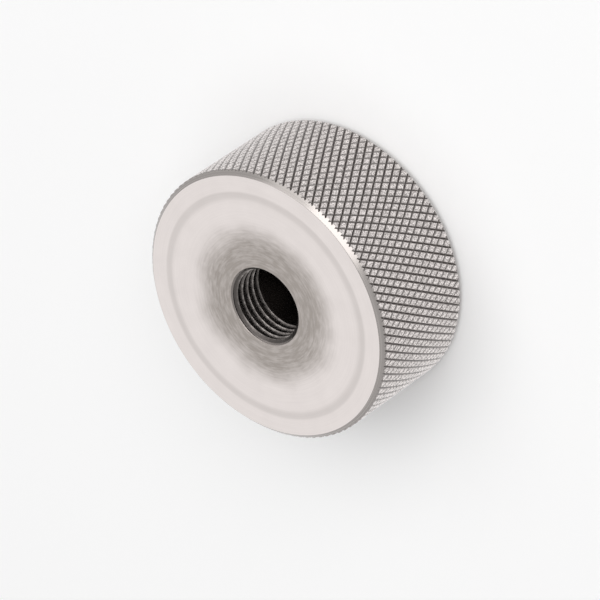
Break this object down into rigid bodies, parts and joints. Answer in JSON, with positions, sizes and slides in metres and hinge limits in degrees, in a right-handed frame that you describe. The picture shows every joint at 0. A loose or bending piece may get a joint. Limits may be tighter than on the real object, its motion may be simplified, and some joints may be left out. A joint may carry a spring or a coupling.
{
  "type": "knurled knob",
  "caption": "Round metal knob, turned in one piece, with a diamond-knurled rim for grip and a blind threaded hole in one face.",
  "frame": {"origin": "centre of the plain rear face, on the knob's axis, in the plane that it stands on", "axes": "+Z is the knob's axis, from the rear face up and out of the threaded hole. The body is round, so +X and +Y are free and lie in the rear face's plane."},
  "size_m": [0.0446, 0.0446, 0.02],
  "materials": {
    "turned_steel": "satin bare steel: faced ends with fine concentric tool lines, a duller zone round the hole and in the shallow ring, bright chamfers, crisp knurl with dark grooves, dark oiled thread"
  },
  "bodies": {
    "root": {"knurled_knob": "turned_steel"}
  },
  "joints": []
}
